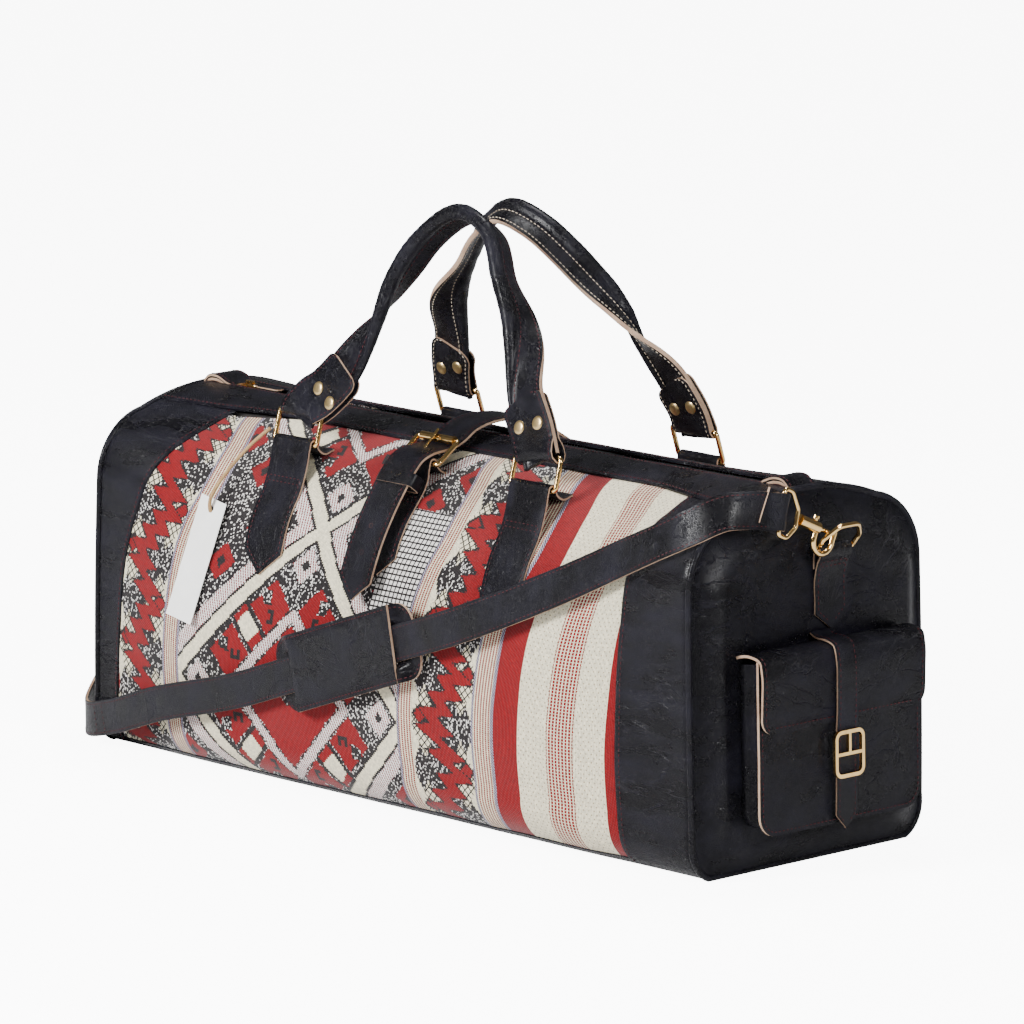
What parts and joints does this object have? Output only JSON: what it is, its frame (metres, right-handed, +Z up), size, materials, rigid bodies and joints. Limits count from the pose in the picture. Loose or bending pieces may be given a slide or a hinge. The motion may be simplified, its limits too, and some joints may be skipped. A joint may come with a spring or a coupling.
{
  "type": "carpet bag",
  "caption": "Long travel bag of kilim cloth and black leather with two ring-hung handles, a strap over the zip, end pockets and a clipped shoulder strap.",
  "frame": {"origin": "middle of the base, on the surface the bag stands on", "axes": "+X along the bag, -Y the front with the shoulder strap, +Z up"},
  "size_m": [0.8021, 0.2955, 0.4846],
  "materials": {
    "leather": "smooth near-black leather with a soft sheen",
    "kilim": "flat-woven wool in red, cream and black",
    "lining": "plain dark lining cloth",
    "board": "stiff fibre board",
    "zip_tape": "woven tape",
    "zip_metal": "dark oxidised metal teeth",
    "brass": "polished golden brass",
    "antique_brass": "aged brass",
    "card": "plain white card",
    "twine": "natural fibre twine"
  },
  "bodies": {
    "root": {"base_board": "board", "base_panel": "leather", "closure_buckle_frame": "brass", "closure_chape": "leather", "closure_keeper": "leather", "closure_prong": "brass", "closure_strap": "leather", "front_kilim_panel": "kilim", "front_left_ring_tab": "leather", "front_right_ring_tab": "leather", "front_top_band": "leather", "hang_tag": "card", "left_d_ring_tab": "leather", "left_end_bands": "leather", "left_end_panel": "leather", "left_piping": "leather", "left_pocket_buckle": "brass", "left_pocket_flap": "leather", "left_pocket_front": "leather", "left_pocket_gusset": "leather", "left_pocket_strap": "leather", "left_strap_eye": "brass", "lining": "lining", "rear_kilim_panel": "kilim", "rear_left_ring_tab": "leather", "rear_right_ring_tab": "leather", "rear_top_band": "leather", "right_d_ring_tab": "leather", "right_end_bands": "leather", "right_end_panel": "leather", "right_piping": "leather", "right_pocket_buckle": "brass", "right_pocket_flap": "leather", "right_pocket_front": "leather", "right_pocket_gusset": "leather", "right_pocket_strap": "leather", "right_strap_eye": "brass", "shoulder_strap": "leather", "tag_string": "twine", "zip_end_tabs": "leather", "zip_tapes": "zip_tape", "zip_teeth": "zip_metal"},
    "closure_roller": {"closure_roller": "brass"},
    "front_handle": {"front_handle": "leather", "front_handle_rivets": "antique_brass"},
    "front_rings": {"front_left_ring": "brass", "front_right_ring": "brass"},
    "left_d_ring": {"left_d_ring": "brass"},
    "left_hook_bolt": {"left_hook_bolt": "brass"},
    "left_hook": {"left_snap_hook": "brass"},
    "rear_handle": {"rear_handle": "leather", "rear_handle_rivets": "antique_brass"},
    "rear_rings": {"rear_left_ring": "brass", "rear_right_ring": "brass"},
    "right_d_ring": {"right_d_ring": "brass"},
    "right_hook_bolt": {"right_hook_bolt": "brass"},
    "right_hook": {"right_snap_hook": "brass"},
    "shoulder_pad": {"shoulder_pad": "leather"},
    "zip_puller": {"zip_puller": "leather"},
    "zip_slider": {"zip_slider": "brass"}
  },
  "joints": [
    {"name": "zip_slide", "type": "slide", "parent": "root", "child": "zip_slider", "axis": [1, 0, 0], "range_m": [0, 0.56]},
    {"name": "puller_hinge", "type": "hinge", "parent": "zip_slider", "child": "zip_puller", "pos_m": [-0.2973, 0, 0.2918], "axis": [0, -1, 0], "range_deg": [0, 150]},
    {"name": "closure_roller_spin", "type": "hinge", "parent": "root", "child": "closure_roller", "pos_m": [-0.004, -0.06, 0.292], "axis": [1, 0, 0], "continuous": true},
    {"name": "shoulder_pad_slide", "type": "slide", "parent": "root", "child": "shoulder_pad", "axis": [0.9433, 0, 0.332], "range_m": [-0.02, 0.02]},
    {"name": "front_ring_hinge", "type": "hinge", "parent": "root", "child": "front_rings", "pos_m": [0, -0.092, 0.275], "axis": [1, 0, 0], "range_deg": [0, 100]},
    {"name": "front_handle_hinge", "type": "hinge", "parent": "front_rings", "child": "front_handle", "pos_m": [0, -0.08528, 0.30012], "axis": [1, 0, 0], "range_deg": [0, 35]},
    {"name": "rear_ring_hinge", "type": "hinge", "parent": "root", "child": "rear_rings", "pos_m": [0, 0.092, 0.275], "axis": [-1, 0, 0], "range_deg": [0, 100]},
    {"name": "rear_handle_hinge", "type": "hinge", "parent": "rear_rings", "child": "rear_handle", "pos_m": [0, 0.08389, 0.2997], "axis": [-1, 0, 0], "range_deg": [0, 35]},
    {"name": "right_d_ring_hinge", "type": "hinge", "parent": "root", "child": "right_d_ring", "pos_m": [0.36152, 0.012, 0.24399], "axis": [0, 1, 0], "range_deg": [-0.5, 3]},
    {"name": "right_hook_swivel", "type": "hinge", "parent": "root", "child": "right_hook", "pos_m": [0.3695, -0.0377, 0.2759], "axis": [0, 0.9143, -0.4051], "range_deg": [-4, 4]},
    {"name": "right_bolt_slide", "type": "slide", "parent": "right_hook", "child": "right_hook_bolt", "axis": [0, -0.9143, 0.4051], "range_m": [0, 0.006], "stiffness_N_per_m": 120},
    {"name": "left_d_ring_hinge", "type": "hinge", "parent": "root", "child": "left_d_ring", "pos_m": [-0.36152, 0.012, 0.24399], "axis": [0, 1, 0], "range_deg": [-3, 3]},
    {"name": "left_hook_swivel", "type": "hinge", "parent": "root", "child": "left_hook", "pos_m": [-0.3956, 0.012, 0.1958], "axis": [0.5, 0, 0.866], "range_deg": [-4, 4]},
    {"name": "left_bolt_slide", "type": "slide", "parent": "left_hook", "child": "left_hook_bolt", "axis": [-0.5, 0, -0.866], "range_m": [0, 0.006], "stiffness_N_per_m": 120}
  ]
}
